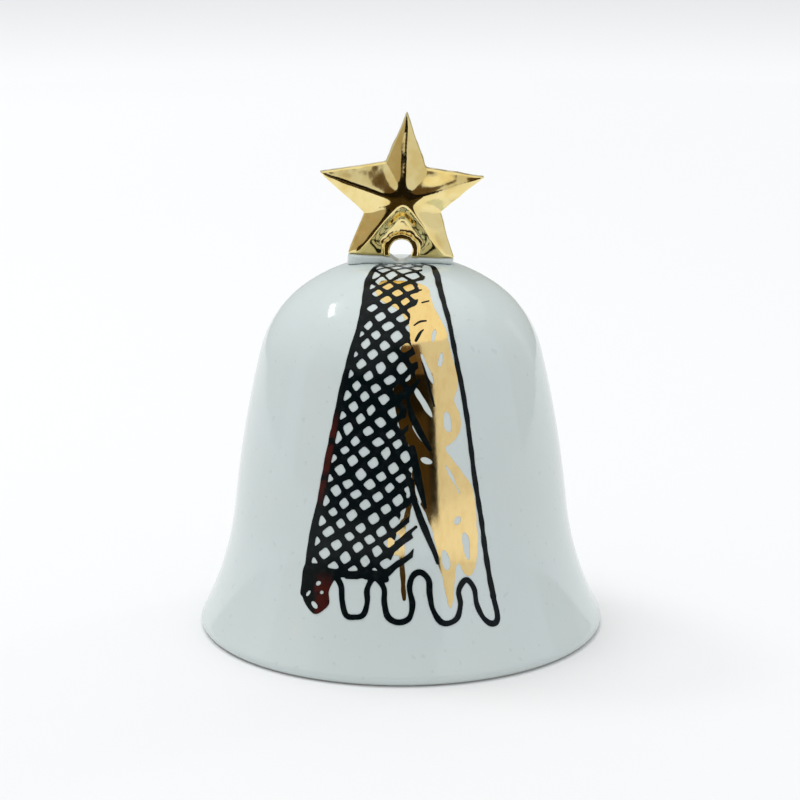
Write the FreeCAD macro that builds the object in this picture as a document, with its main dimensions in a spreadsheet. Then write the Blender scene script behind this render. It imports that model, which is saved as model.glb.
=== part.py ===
import FreeCAD, Part
import Sketcher
import math
import os

from FreeCAD import Placement, Rotation, Vector

# Porcelain bell ornament: a glazed bell with a gilded star finial, a printed panel on its front
# and a free clapper inside. Millimetres, +Z up, origin on the bell's axis at the rim,
# front towards -Y.

sizes = {
    # the bell's outside, from the rim up
    "rim_radius": 37.5,
    "lip_radius": 1.3,
    "inner_lip_radius": 0.4,
    "flare_radius": 60.3,
    "side_radius": 201.8,
    "side_widest_radius": 31.8,
    "side_widest_height": 3.2,
    "shoulder_radius": 20.1,
    "crown_radius": 31.1,
    "crown_flattened": 1.0,
    "land_blend": 12.0,
    "bell_height": 68.3,
    "porcelain_wall": 3.0,
    # the boss under the crown, and the blind socket in it
    "boss_radius": 5.6,
    "boss_depth": 6.6,
    "boss_blend": 1.2,
    "socket_depth": 4.4,
    # the star
    "star_lean": 2.5,
    "star_edge": 1.8,
    "star_depth": 9.0,
    "star_above_hole": 9.2,
    "web_thickness": 3.4,
    "collar_radius": 3.2,
    "collar_length": 4.8,
    "ribbon_hole_radius": 2.1,
    "hole_over_crown": 2.3,
    "star_base_under_hole": 1.1,
    # the glazed pad that the star stands on
    "pad_half_length": 9.7,
    "pad_half_width": 2.4,
    "pad_sunk": 2.8,
    # the fired print on the front: its outlines below are for a bell of this radius and height
    "print_for_radius": 37.5,
    "print_for_height": 68.3,
    "line_film": 0.12,
    "gold_film": 0.12,
    "film_gap": 0.05,
    "panel_top_half_width": 7.0,
    "panel_over_crown": 1.0,
    "panel_waist_height": 61.4,
    "panel_waist_left": 7.3,
    "panel_waist_right": 8.4,
    "panel_foot_left": 17.8,
    "panel_foot_left_height": 10.9,
    "panel_foot_right": 17.2,
    "panel_foot_right_height": 9.4,
    "drip_gap_width": 2.3,
    # the swivel under the crown
    "bush_radius": 3.4,
    "cement_thickness": 0.2,
    "bush_length": 2.6,
    "bush_flange_radius": 4.8,
    "bush_flange": 0.7,
    "pin_radius": 0.9,
    "pin_clearance": 0.05,
    "pin_head_radius": 2.2,
    "pin_head": 0.8,
    "head_play": 0.05,
    "eye_wire_radius": 0.7,
    "eye_inner_radius": 1.6,
    "eye_drop": 0.5,
    # the clapper
    "clapper_wire_radius": 0.6,
    "loop_inner_radius": 1.5,
    "loop_play": 0.1,
    "wrap_radius": 1.5,
    "wrap_length": 3.2,
    "wrap_bite": 0.35,
    "ball_radius": 6.5,
    "ball_height": 14.0,
    "ball_bore_clearance": 0.05,
    "cap_radius": 3.4,
    "cap_thickness": 0.5,
    "cap_gap": 0.02,
    "crimp_radius": 1.4,
    "crimp_length": 2.4,
    "tail_head_radius": 1.3,
    "tail_head": 0.7,
}

# corners of the star's outline: reach from its middle, angle up from the right
star_corners = {
    "top": (16.0, 90.0),
    "upper_right": (7.1, 57.0),
    "right": (15.4, 18.0),
    "lower_right": (7.1, -16.0),
    "right_leg": (25.5, -58.0),
    "crotch": (7.2, -90.0),
    "left_leg": (25.5, -122.0),
    "lower_left": (7.5, -159.0),
    "left": (16.0, 164.0),
    "upper_left": (7.5, 117.0),
}
for corner, (reach, angle) in star_corners.items():
    sizes["star_" + corner + "_reach"] = reach
    sizes["star_" + corner + "_angle"] = angle

# corners of the gold streak on the panel: across from the bell's axis, height above the rim
gold_streak = {
    "crown_left": (-2.4, 66.6),
    "shoulder_left": (-2.6, 58.0),
    "heart": (-1.6, 47.0),
    "waist_left": (0.4, 36.0),
    "hip": (5.4, 23.0),
    "tail": (8.5, 12.6),
    "lobe": (12.1, 15.8),
    "lobe_top": (11.6, 25.0),
    "flank": (8.8, 42.0),
    "shoulder_right": (6.9, 60.0),
    "crown_right": (5.6, 67.4),
}
for corner, (across, height) in gold_streak.items():
    sizes["gold_" + corner + "_across"] = across
    sizes["gold_" + corner + "_height"] = height

# the gaps between the drips along the panel's foot: middle, and height of the rounded top
drip_gaps = {
    "first": (-11.5, 17.2),
    "second": (-4.6, 17.7),
    "third": (3.5, 18.9),
    "fourth": (11.7, 17.4),
}
for gap, (across, height) in drip_gaps.items():
    sizes["gap_" + gap + "_across"] = across
    sizes["gap_" + gap + "_height"] = height

doc = FreeCAD.newDocument("bell_ornament")
sheet = doc.addObject("Spreadsheet::Sheet", "sizes")
for row, (name, value) in enumerate(sizes.items(), start=1):
    sheet.set("A%d" % row, name)
    sheet.set("B%d" % row, str(value))
    sheet.setAlias("B%d" % row, name)
doc.recompute()

origin = -1                     # the sketcher's number for its origin
start, end, centre = 1, 2, 3    # and for the points of an edge


def read(name):
    """A size from the sheet, as a number."""
    return float(sheet.get(name))


def bind(thing, **properties):
    """Ties an object's properties to expressions on the sheet."""
    for name, expression in properties.items():
        thing.setExpression(name, expression)
    return thing


def of_sheet(expression):
    """'@name' stands for the sheet's value of that name."""
    return expression.replace("@", "sizes.")


def make_body(name):
    body = doc.addObject("PartDesign::Body", name)
    body.Label = name
    return body


def make_sketch(body, name, plane="XZ_Plane", lift=None):
    sketch = body.newObject("Sketcher::SketchObject", name)
    base = [part for part in body.Origin.OriginFeatures if part.Role == plane][0]
    sketch.AttachmentSupport = [(base, "")]
    sketch.MapMode = "FlatFace"
    if lift is not None:
        sketch.setExpression("AttachmentOffset.Base.z", of_sheet(lift))
    return sketch


def rule(sketch, *constraint, size=None):
    """Adds one constraint. With a size it is a dimension bound to that expression."""
    index = sketch.addConstraint(Sketcher.Constraint(*constraint))
    if size is not None:
        sketch.setExpression("Constraints[%d]" % index, of_sheet(size))
    return index


def place_point(sketch, edge, point, across, up):
    """Dimensions a point from the sketch's origin."""
    spot = {start: "StartPoint", end: "EndPoint"}.get(point, "Center")
    here = getattr(sketch.Geometry[edge], spot)
    rule(sketch, "DistanceX", origin, 1, edge, point, here.x, size=across)
    rule(sketch, "DistanceY", origin, 1, edge, point, here.y, size=up)


def draw_polygon(sketch, corners):
    """A closed outline whose corners are pairs of expressions."""
    count = len(corners)
    turn = 2 * math.pi / count
    spots = [Vector(10 * math.cos(i * turn), 10 * math.sin(i * turn), 0) for i in range(count)]
    for i in range(count):
        sketch.addGeometry(Part.LineSegment(spots[i], spots[(i + 1) % count]), False)
    for i in range(count):
        rule(sketch, "Coincident", i, end, (i + 1) % count, start)
    for i, (across, up) in enumerate(corners):
        place_point(sketch, i, start, across, up)


def draw_circle(sketch, radius, across=None, up=None):
    edge = sketch.addGeometry(Part.Circle(Vector(0, 0, 0), Vector(0, 0, 1), 1.0), False)
    rule(sketch, "Radius", edge, 1.0, size=radius)
    if across is None:
        rule(sketch, "Coincident", edge, centre, origin, 1)
    else:
        place_point(sketch, edge, centre, across, up)
    return edge


def pad(body, sketch, length, both_ways=False, backwards=False, name="Pad"):
    feature = body.newObject("PartDesign::Pad", body.Name + "_" + name)
    feature.Profile = sketch
    feature.setExpression("Length", of_sheet(length))
    feature.SideType = "Symmetric" if both_ways else "One side"
    feature.Reversed = backwards
    return feature


def cut_through(body, sketch, name="Cut"):
    feature = body.newObject("PartDesign::Pocket", body.Name + "_" + name)
    feature.Profile = sketch
    feature.Type = "ThroughAll"
    feature.SideType = "Symmetric"
    return feature


def revolve(body, sketch, name="Revolution"):
    feature = body.newObject("PartDesign::Revolution", body.Name + "_" + name)
    feature.Profile = sketch
    feature.ReferenceAxis = (sketch, ["V_Axis"])
    feature.Angle = 360
    return feature


def circles_meet(first, first_reach, second, second_reach, side):
    """Where two circles cross, on the given side of the line between their middles."""
    between = second - first
    along = (first_reach ** 2 - second_reach ** 2 + between.Length ** 2) / (2 * between.Length)
    off = math.sqrt(first_reach ** 2 - along ** 2)
    ahead = between.normalize()
    return first + ahead * along + Vector(-ahead.y, ahead.x, 0) * off * side


def bell_curves(grow):
    """The arcs of the bell's outside, grown outwards: middle, radius, lower and upper joint."""
    lip = Vector(read("rim_radius") - read("lip_radius"), read("lip_radius"), 0)
    side = Vector(read("side_widest_radius") - read("side_radius"), read("side_widest_height"), 0)
    crown_height = read("bell_height") + read("crown_flattened") - read("crown_radius")
    crown = Vector(0, crown_height, 0)
    flare = circles_meet(lip, read("lip_radius") + read("flare_radius"),
                         side, read("side_radius") + read("flare_radius"), -1)
    shoulder = circles_meet(side, read("side_radius") - read("shoulder_radius"),
                            crown, read("crown_radius") - read("shoulder_radius"), 1)
    radii = {"lip": read("lip_radius") + grow, "flare": read("flare_radius") - grow,
             "side": read("side_radius") + grow, "shoulder": read("shoulder_radius") + grow,
             "crown": read("crown_radius") + grow}

    def toward(middle, other, radius):
        return middle + (other - middle).normalize() * radius

    land_height = read("bell_height") + grow
    land_edge = math.sqrt(radii["crown"] ** 2 - (land_height - crown_height) ** 2)
    joints = [Vector(lip.x, -grow, 0),
              toward(lip, flare, radii["lip"]),
              toward(side, flare, radii["side"]),
              side + (shoulder - side).normalize() * radii["side"],
              crown + (shoulder - crown).normalize() * radii["crown"],
              Vector(land_edge, land_height, 0)]
    middles = {"lip": lip, "flare": flare, "side": side, "shoulder": shoulder, "crown": crown}
    return [(name, middles[name], radii[name], joints[i], joints[i + 1])
            for i, name in enumerate(middles)]


def add_arc(sketch, middle, radius, one, other):
    """An arc from one point to the other by the shorter way. Tells which end is at 'one'."""
    first = math.atan2(one.y - middle.y, one.x - middle.x)
    last = math.atan2(other.y - middle.y, other.x - middle.x)
    forwards = (last - first) % (2 * math.pi) < math.pi
    low, high = (first, last) if forwards else (last, first)
    circle = Part.Circle(middle, Vector(0, 0, 1), radius)
    edge = sketch.addGeometry(Part.ArcOfCircle(circle, low, high), False)
    return edge, (start, end) if forwards else (end, start)


def draw_bell_outside(sketch, grow, grow_by):
    """Draws the bell's outside from the rim to the flat land on its crown.

    Returns the arcs as name: (edge, its lower point, its upper point), and the land's line."""
    arcs = {}
    for name, middle, radius, low, high in bell_curves(grow):
        edge, (lower, upper) = add_arc(sketch, middle, radius, low, high)
        arcs[name] = (edge, lower, upper)
    names = list(arcs)
    for below, above in zip(names, names[1:]):
        rule(sketch, "Tangent", arcs[below][0], arcs[below][2], arcs[above][0], arcs[above][1])
    lip, flare, side, shoulder, crown = [arcs[name][0] for name in names]
    rule(sketch, "Radius", lip, read("lip_radius") + grow, size="@lip_radius" + grow_by)
    rule(sketch, "Radius", flare, read("flare_radius") - grow,
         size="@flare_radius - (0" + grow_by + ")")
    rule(sketch, "Radius", side, read("side_radius") + grow, size="@side_radius" + grow_by)
    rule(sketch, "Radius", shoulder, read("shoulder_radius") + grow,
         size="@shoulder_radius" + grow_by)
    rule(sketch, "Radius", crown, read("crown_radius") + grow, size="@crown_radius" + grow_by)
    place_point(sketch, lip, centre, "@rim_radius - @lip_radius", "@lip_radius")
    place_point(sketch, side, centre, "@side_widest_radius - @side_radius",
                "@side_widest_height")
    place_point(sketch, crown, centre, "0",
                "@bell_height + @crown_flattened - @crown_radius")
    edge_point = bell_curves(grow)[-1][4]
    land = sketch.addGeometry(Part.LineSegment(edge_point, Vector(0, edge_point.y, 0)), False)
    rule(sketch, "Coincident", crown, arcs["crown"][2], land, start)
    place_point(sketch, land, end, "0", "@bell_height" + grow_by)
    rule(sketch, "Horizontal", land)
    return arcs, land


def chain_lines(sketch, first, points, last):
    """Straight lines through the points, joined to an edge's end before and after them."""
    edge = None
    for one, other in zip(points, points[1:]):
        line = sketch.addGeometry(Part.LineSegment(one, other), False)
        if edge is None:
            rule(sketch, "Coincident", first[0], first[1], line, start)
        else:
            rule(sketch, "Coincident", edge, end, line, start)
        edge = line
    rule(sketch, "Coincident", edge, end, last[0], last[1])
    return edge


def make_blank(name, grow_name=None):
    """The bell as a solid lump, grown outwards by a film's thickness."""
    grow = read(grow_name) if grow_name else 0.0
    grow_by = " + @" + grow_name if grow_name else ""
    body = make_body(name)
    sketch = make_sketch(body, name + "_section")
    arcs, land = draw_bell_outside(sketch, grow, grow_by)
    foot = bell_curves(grow)[0][3]
    land_top = read("bell_height") + grow
    first = sketch.addGeometry(
        Part.LineSegment(Vector(0, land_top, 0), Vector(0, foot.y, 0)), False)
    second = sketch.addGeometry(Part.LineSegment(Vector(0, foot.y, 0), foot), False)
    rule(sketch, "Coincident", land, end, first, start)
    rule(sketch, "Coincident", first, end, second, start)
    rule(sketch, "Tangent", second, end, arcs["lip"][0], arcs["lip"][1])
    rule(sketch, "Vertical", first)
    rule(sketch, "Horizontal", second)
    lump = revolve(body, sketch)
    doc.recompute()
    round_edges(body, lump, "@land_blend" + grow_by, at_height(land_top))
    return body


def make_bell_shell():
    """The bell: an even wall inside the outer curves, with a boss and blind socket overhead."""
    body = make_body("bell_shell")
    sketch = make_sketch(body, "bell_section")
    arcs, land = draw_bell_outside(sketch, 0.0, "")
    wall = read("porcelain_wall")
    curves = {name: (middle, radius) for name, middle, radius, low, high in bell_curves(0.0)}
    inner = {name: (middle, radius, low, high)
             for name, middle, radius, low, high in bell_curves(-wall) if name != "lip"}
    flare_middle, flare_reach = inner["flare"][0], inner["flare"][1]
    round_off = read("inner_lip_radius")
    drop = flare_middle.y - round_off
    reach = math.sqrt((flare_reach - round_off) ** 2 - drop ** 2)
    inner_lip = Vector(flare_middle.x - reach, round_off, 0)
    flare_start = flare_middle + (inner_lip - flare_middle).normalize() * flare_reach
    foot_out = Vector(curves["lip"][0].x, 0, 0)
    foot_in = Vector(inner_lip.x, 0, 0)
    foot = sketch.addGeometry(Part.LineSegment(foot_out, foot_in), False)
    rule(sketch, "Tangent", arcs["lip"][0], arcs["lip"][1], foot, start)
    rule(sketch, "Horizontal", foot)
    edge, (low, high) = add_arc(sketch, inner_lip, round_off, foot_in, flare_start)
    rule(sketch, "Tangent", foot, end, edge, low)
    rule(sketch, "Radius", edge, round_off, size="@inner_lip_radius")
    boss = read("boss_radius")
    crown_middle, crown_reach = inner["crown"][0], inner["crown"][1]
    ceiling = Vector(boss, crown_middle.y + math.sqrt(crown_reach ** 2 - boss ** 2), 0)
    before = (edge, high)
    for name in ("flare", "side", "shoulder", "crown"):
        middle, reach, lower, upper = inner[name]
        first = flare_start if name == "flare" else lower
        last = ceiling if name == "crown" else upper
        edge, (low, high) = add_arc(sketch, middle, reach, first, last)
        rule(sketch, "Tangent", before[0], before[1], edge, low)
        rule(sketch, "Coincident", edge, centre, arcs[name][0], centre)
        if name == "side":
            rule(sketch, "Radius", edge, reach, size="@side_radius - @porcelain_wall")
        before = (edge, high)
    boss_foot = read("bell_height") - read("boss_depth")
    roof = boss_foot + read("socket_depth")
    socket = read("bush_radius") + read("cement_thickness")
    corners = [ceiling, Vector(boss, boss_foot, 0), Vector(socket, boss_foot, 0),
               Vector(socket, roof, 0), Vector(0, roof, 0), Vector(0, read("bell_height"), 0)]
    axis_line = chain_lines(sketch, before, corners, (land, end))
    boss_side = axis_line - 4
    place_point(sketch, boss_side, end, "@boss_radius", "@bell_height - @boss_depth")
    rule(sketch, "Vertical", boss_side)
    place_point(sketch, boss_side + 1, end, socket_radius, "@bell_height - @boss_depth")
    place_point(sketch, boss_side + 2, end, socket_radius,
                "@bell_height - @boss_depth + @socket_depth")
    place_point(sketch, boss_side + 3, end, "0", "@bell_height - @boss_depth + @socket_depth")
    turned = revolve(body, sketch)
    doc.recompute()
    round_edges(body, turned, "@land_blend", at_height(read("bell_height")))
    doc.recompute()
    round_edges(body, body.Tip, "@boss_blend", at_circle(boss, boss_foot, ceiling.y))
    return body


def at_height(height):
    """Picks circles that lie level at one height."""
    def pick(edge):
        return abs(edge.Curve.Center.z - height) < 1e-4 and abs(edge.Curve.Axis.z) > 0.99
    return pick


def at_circle(radius, above, highest):
    """Picks circles of one radius, above one height and up to another."""
    def pick(edge):
        height = edge.Curve.Center.z
        return abs(edge.Curve.Radius - radius) < 1e-3 and above + 1e-3 < height <= highest + 1e-3
    return pick


def round_edges(body, base, radius, pick):
    """Fillets the circular edges of a feature that 'pick' accepts."""
    names = ["Edge%d" % number for number, edge in enumerate(base.Shape.Edges, start=1)
             if isinstance(edge.Curve, Part.Circle) and pick(edge)]
    fillet = body.newObject("PartDesign::Fillet", body.Name + "_rounding")
    fillet.Base = (base, names)
    fillet.setExpression("Radius", of_sheet(radius))
    return fillet


def lean_with_star(body):
    """Sets a body, drawn round the ribbon hole, at the hole's height with the star's lean."""
    body.Placement = Placement(Vector(0, 0, 0), Rotation(Vector(0, 1, 0), read("star_lean")))
    body.setExpression("Placement.Base.z", of_sheet("@bell_height + @hole_over_crown"))
    body.setExpression("Placement.Rotation.Angle", of_sheet("@star_lean"))


def star_corner(name):
    """Expressions for a corner of the star's outline, in the hole's frame."""
    reach, angle = "@star_%s_reach" % name, "(@star_%s_angle * 1 deg)" % name
    return (reach + " * cos" + angle, "@star_above_hole + " + reach + " * sin" + angle)


def make_star():
    """The star: a flat middle slab, a pyramid of facets on each face, and a web with a collar."""
    body = make_body("star_finial")
    outline = [star_corner(name) for name in star_corners]
    slab_sketch = make_sketch(body, "star_outline")
    draw_polygon(slab_sketch, outline)
    pad(body, slab_sketch, "@star_edge", both_ways=True, name="slab")
    for face, sign in (("front", ""), ("back", "-")):
        rim = make_sketch(body, "star_rim_" + face, lift=sign + "@star_edge / 2")
        draw_polygon(rim, outline)
        tip = make_sketch(body, "star_tip_" + face, lift=sign + "@star_depth / 2")
        tip.addGeometry(Part.Point(Vector(0, 1, 0)), False)
        rule(tip, "DistanceX", origin, 1, 0, start, 0.0, size="0")
        rule(tip, "DistanceY", origin, 1, 0, start, 1.0, size="@star_above_hole")
        facets = body.newObject("PartDesign::AdditiveLoft", "star_facets_" + face)
        facets.Profile = rim
        facets.Sections = [tip]
        facets.Ruled = True
    web = make_sketch(body, "web_outline")
    tall = "(@star_above_hole + @star_base_under_hole)"
    draw_polygon(web, [("0", "@star_above_hole"),
                       (tall + " / tan(@star_left_leg_angle * 1 deg) * -1",
                        "-@star_base_under_hole"),
                       (tall + " / tan(@star_right_leg_angle * 1 deg) * -1",
                        "-@star_base_under_hole")])
    pad(body, web, "@web_thickness", both_ways=True, name="web")
    collar = make_sketch(body, "collar_outline")
    draw_circle(collar, "@collar_radius")
    pad(body, collar, "@collar_length", both_ways=True, name="collar")
    under = make_sketch(body, "under_the_base")
    deep, wide = "-2 * @star_left_leg_reach", "@star_left_leg_reach"
    draw_polygon(under, [("-" + wide, deep), (wide, deep), (wide, "-@star_base_under_hole"),
                         ("-" + wide, "-@star_base_under_hole")])
    cut_through(body, under, "base")
    hole = make_sketch(body, "ribbon_hole")
    draw_circle(hole, "@ribbon_hole_radius")
    cut_through(body, hole, "hole")
    lean_with_star(body)
    return body


def make_pad(shell):
    """The glazed pad between the star's flat base and the rounded crown."""
    body = make_body("pad_blank")
    outline = make_sketch(body, "pad_outline", "XY_Plane", lift="-@star_base_under_hole")
    half = read("pad_half_width")
    reach = read("pad_half_length") - half
    right = outline.addGeometry(Part.ArcOfCircle(
        Part.Circle(Vector(reach, 0, 0), Vector(0, 0, 1), half), -math.pi / 2, math.pi / 2), False)
    back = outline.addGeometry(
        Part.LineSegment(Vector(reach, half, 0), Vector(-reach, half, 0)), False)
    left = outline.addGeometry(Part.ArcOfCircle(
        Part.Circle(Vector(-reach, 0, 0), Vector(0, 0, 1), half),
        math.pi / 2, 3 * math.pi / 2), False)
    front = outline.addGeometry(
        Part.LineSegment(Vector(-reach, -half, 0), Vector(reach, -half, 0)), False)
    rule(outline, "Tangent", right, end, back, start)
    rule(outline, "Tangent", back, end, left, start)
    rule(outline, "Tangent", left, end, front, start)
    rule(outline, "Tangent", front, end, right, start)
    place_point(outline, right, centre, "@pad_half_length - @pad_half_width", "0")
    place_point(outline, left, centre, "@pad_half_width - @pad_half_length", "0")
    rule(outline, "Radius", right, half, size="@pad_half_width")
    rule(outline, "Equal", right, left)
    pad(body, outline, "@pad_sunk", backwards=True)
    hole = make_sketch(body, "hole_through_pad")
    draw_circle(hole, "@ribbon_hole_radius")
    cut_through(body, hole, "hole")
    lean_with_star(body)
    return boolean("Part::Cut", "star_pad", body, shell)


def boolean(kind, name, base, tool):
    result = doc.addObject(kind, name)
    result.Base = base
    result.Tool = tool
    result.Label = name
    return result


def fuse(name, parts):
    result = doc.addObject("Part::MultiFuse", name)
    result.Shapes = parts
    result.Label = name
    return result


def outline_prism(name, corners):
    """A prism from just in front of the star's pad to beyond the bell's front."""
    body = make_body(name)
    sketch = make_sketch(body, name + "_outline", lift="@pad_half_width + @film_gap")
    draw_polygon(sketch, corners)
    pad(body, sketch, "2 * @rim_radius")
    return body


def across(size):
    """A width on the print, stretched with the bell's rim."""
    return "(" + size + " * @rim_radius / @print_for_radius)"


def up(size):
    """A height on the print, stretched with the bell's height."""
    return "(" + size + " * @bell_height / @print_for_height)"


def make_print(shell_blank):
    """The two fired films on the front: black line work, and a gold streak let into it."""
    line_skin = boolean("Part::Cut", "line_skin", make_blank("line_blank", "line_film"),
                        shell_blank)
    gold_skin = boolean("Part::Cut", "gold_skin", make_blank("gold_blank", "gold_film"),
                        shell_blank)
    panel = outline_prism("panel", [
        ("-" + across("@panel_top_half_width"), "@bell_height + @panel_over_crown"),
        ("-" + across("@panel_waist_left"), up("@panel_waist_height")),
        ("-" + across("@panel_foot_left"), up("@panel_foot_left_height")),
        (across("@panel_foot_right"), up("@panel_foot_right_height")),
        (across("@panel_waist_right"), up("@panel_waist_height")),
        (across("@panel_top_half_width"), "@bell_height + @panel_over_crown")])
    streak = outline_prism("streak", [
        (across("@gold_%s_across" % corner), up("@gold_%s_height" % corner))
        for corner in gold_streak])
    cutters = [streak]
    for gap in drip_gaps:
        middle, top = across("@gap_%s_across" % gap), up("@gap_%s_height" % gap)
        slot = bind(doc.addObject("Part::Box", "slot_" + gap),
                    Length=of_sheet("@drip_gap_width"), Width=of_sheet("2 * @rim_radius"),
                    Height=of_sheet(top + " - @drip_gap_width / 2"))
        slot.setExpression("Placement.Base.x", of_sheet(middle + " - @drip_gap_width / 2"))
        slot.setExpression("Placement.Base.y", of_sheet("-2 * @rim_radius"))
        arch = bind(doc.addObject("Part::Cylinder", "arch_" + gap),
                    Radius=of_sheet("@drip_gap_width / 2"), Height=of_sheet("2 * @rim_radius"))
        arch.Placement = Placement(Vector(0, 0, 0), Rotation(Vector(1, 0, 0), 90))
        arch.setExpression("Placement.Base.x", of_sheet(middle))
        arch.setExpression("Placement.Base.z", of_sheet(top + " - @drip_gap_width / 2"))
        cutters += [slot, arch]
    panel_film = boolean("Part::Common", "panel_film", line_skin, panel)
    line_print = boolean("Part::Cut", "line_print", panel_film, fuse("line_gaps", cutters))
    gold_print = boolean("Part::Common", "gold_print", gold_skin, streak)
    return line_print, gold_print


def ring(name, radii, height, axis, turn):
    """A wire ring in an upright plane: radii are the ring's and the wire's expressions."""
    torus = bind(doc.addObject("Part::Torus", name),
                 Radius1=of_sheet(radii[0]), Radius2=of_sheet(radii[1]))
    torus.Placement = Placement(Vector(0, 0, 0), Rotation(axis, turn))
    torus.setExpression("Placement.Base.z", of_sheet(height))
    return torus


def rod(name, radius, low, length):
    cylinder = bind(doc.addObject("Part::Cylinder", name),
                    Radius=of_sheet(radius), Height=of_sheet(length))
    cylinder.setExpression("Placement.Base.z", of_sheet(low))
    return cylinder


def turned_piece(name, corners):
    """A body turned round the bell's axis from a section of straight lines."""
    body = make_body(name)
    sketch = make_sketch(body, name + "_section")
    draw_polygon(sketch, corners)
    revolve(body, sketch)
    return body


socket_radius = "(@bush_radius + @cement_thickness)"
ball_bore = "(@clapper_wire_radius + @ball_bore_clearance)"
boss_foot = "(@bell_height - @boss_depth)"
bush_top = "(@bell_height - @boss_depth + @bush_length)"
eye_middle = "(" + boss_foot + " - @bush_flange - @eye_drop - @eye_inner_radius" \
    " - 2 * @eye_wire_radius)"
pivot = "(" + eye_middle + " - @eye_inner_radius - @eye_wire_radius)"
loop_middle = "(" + pivot + " + @eye_wire_radius + @loop_play - @loop_inner_radius)"
loop_foot = "(" + loop_middle + " - @loop_inner_radius - 2 * @clapper_wire_radius)"


def make_swivel():
    """A flanged bush cemented in the socket, and a headed eye pin that turns in it."""
    bore = "@pin_radius + @pin_clearance"
    bush = turned_piece("swivel_bush", [
        (bore, bush_top), (bore, boss_foot + " - @bush_flange"),
        ("@bush_flange_radius", boss_foot + " - @bush_flange"),
        ("@bush_flange_radius", boss_foot), ("@bush_radius", boss_foot),
        ("@bush_radius", bush_top)])
    cement = turned_piece("bush_cement", [
        ("@bush_radius", bush_top), ("@bush_radius", boss_foot),
        (socket_radius, boss_foot), (socket_radius, bush_top)])
    shank_foot = "(" + eye_middle + " + @eye_inner_radius + @eye_wire_radius)"
    pin = fuse("swivel_pin", [
        rod("pin_head", "@pin_head_radius", bush_top + " + @head_play", "@pin_head"),
        rod("pin_shank", "@pin_radius", shank_foot,
            bush_top + " + @head_play + @pin_head / 2 - " + shank_foot),
        ring("pin_eye", ("@eye_inner_radius + @eye_wire_radius", "@eye_wire_radius"),
             eye_middle, Vector(1, 0, 0), 90)])
    return bush, cement, pin


def make_clapper():
    """A wire loop hung in the eye, with a ball held between two caps and a crimp."""
    wire = "@clapper_wire_radius"
    seat = "(@ball_radius + @cap_gap + @cap_thickness)"
    tail = "(@ball_height - " + seat + " - @tail_head)"
    wrap_foot = "(" + loop_foot + " + @wrap_bite - @wrap_length)"
    hanging = fuse("clapper_wire", [
        ring("wire_loop", ("@loop_inner_radius + " + wire, wire),
             loop_middle, Vector(0, 1, 0), 90),
        rod("wire_wrap", "@wrap_radius", wrap_foot, "@wrap_length"),
        rod("wire_shank", wire, tail, wrap_foot + " + @wrap_length / 2 - " + tail),
        rod("wire_tail_head", "@tail_head_radius", tail, "@tail_head")])
    ball = bind(doc.addObject("Part::Sphere", "ball_blank"), Radius=of_sheet("@ball_radius"))
    ball.setExpression("Placement.Base.z", of_sheet("@ball_height"))
    bore = rod("ball_bore", ball_bore, "@ball_height - @ball_radius",
               "2 * @ball_radius")
    clapper_ball = boolean("Part::Cut", "clapper_ball", ball, bore)
    caps = [make_cap("upper_ball_cap", 1), make_cap("lower_ball_cap", -1)]
    crimp_foot = "(@ball_height + " + seat + ")"
    middle = crimp_foot + " + @crimp_length / 2"
    top = crimp_foot + " + @crimp_length"
    waist = "(" + ball_bore + " + @crimp_radius) / 2"
    crimp = turned_piece("crimp_bead", [
        (ball_bore, crimp_foot), (waist, crimp_foot), ("@crimp_radius", middle),
        (waist, top), (ball_bore, top)])
    return [hanging, clapper_ball, crimp] + caps


def make_cap(name, side):
    """A thin dished cap on one end of the clapper's ball."""
    outer = bind(doc.addObject("Part::Sphere", name + "_outside"),
                 Radius=of_sheet("@ball_radius + @cap_gap + @cap_thickness"))
    inner = bind(doc.addObject("Part::Sphere", name + "_inside"),
                 Radius=of_sheet("@ball_radius + @cap_gap"))
    hole = rod(name + "_bore", ball_bore, "@ball_height - 2 * @ball_radius",
               "4 * @ball_radius")
    for sphere in (outer, inner):
        sphere.setExpression("Placement.Base.z", of_sheet("@ball_height"))
    low = "@ball_height" if side > 0 else "@ball_height - 2 * @ball_radius"
    trim = rod(name + "_trim", "@cap_radius", low, "2 * @ball_radius")
    dish = boolean("Part::Cut", name + "_dish", outer, inner)
    disc = boolean("Part::Common", name + "_disc", dish, trim)
    return boolean("Part::Cut", name, disc, hole)


bell_shell = make_bell_shell()
star_finial = make_star()
star_pad = make_pad(bell_shell)
line_print, gold_print = make_print(make_blank("bell_blank"))
swivel_bush, bush_cement, swivel_pin = make_swivel()
clapper = make_clapper()
doc.recompute()

nodes = [bell_shell, star_finial, star_pad, line_print, gold_print,
         swivel_bush, bush_cement, swivel_pin] + clapper
for thing in doc.Objects:
    if "Invalid" in thing.State or "Error" in thing.State:
        raise RuntimeError("%s did not build: %s" % (thing.Name, thing.State))
for node in nodes:
    if node.Shape.isNull() or not node.Shape.isValid() or not node.Shape.Solids:
        raise RuntimeError("%s has no valid solid" % node.Label)

os.makedirs("parts", exist_ok=True)
for node in nodes:
    node.Shape.exportStep("parts/%s.step" % node.Label)
    box = node.Shape.BoundBox
    print("%-16s %d solid(s) %9.2f mm3  z %6.2f to %6.2f  x %6.2f to %6.2f  y %6.2f to %6.2f" % (
        node.Label, len(node.Shape.Solids), node.Shape.Volume, box.ZMin, box.ZMax,
        box.XMin, box.XMax, box.YMin, box.YMax))
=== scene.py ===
import math

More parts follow.
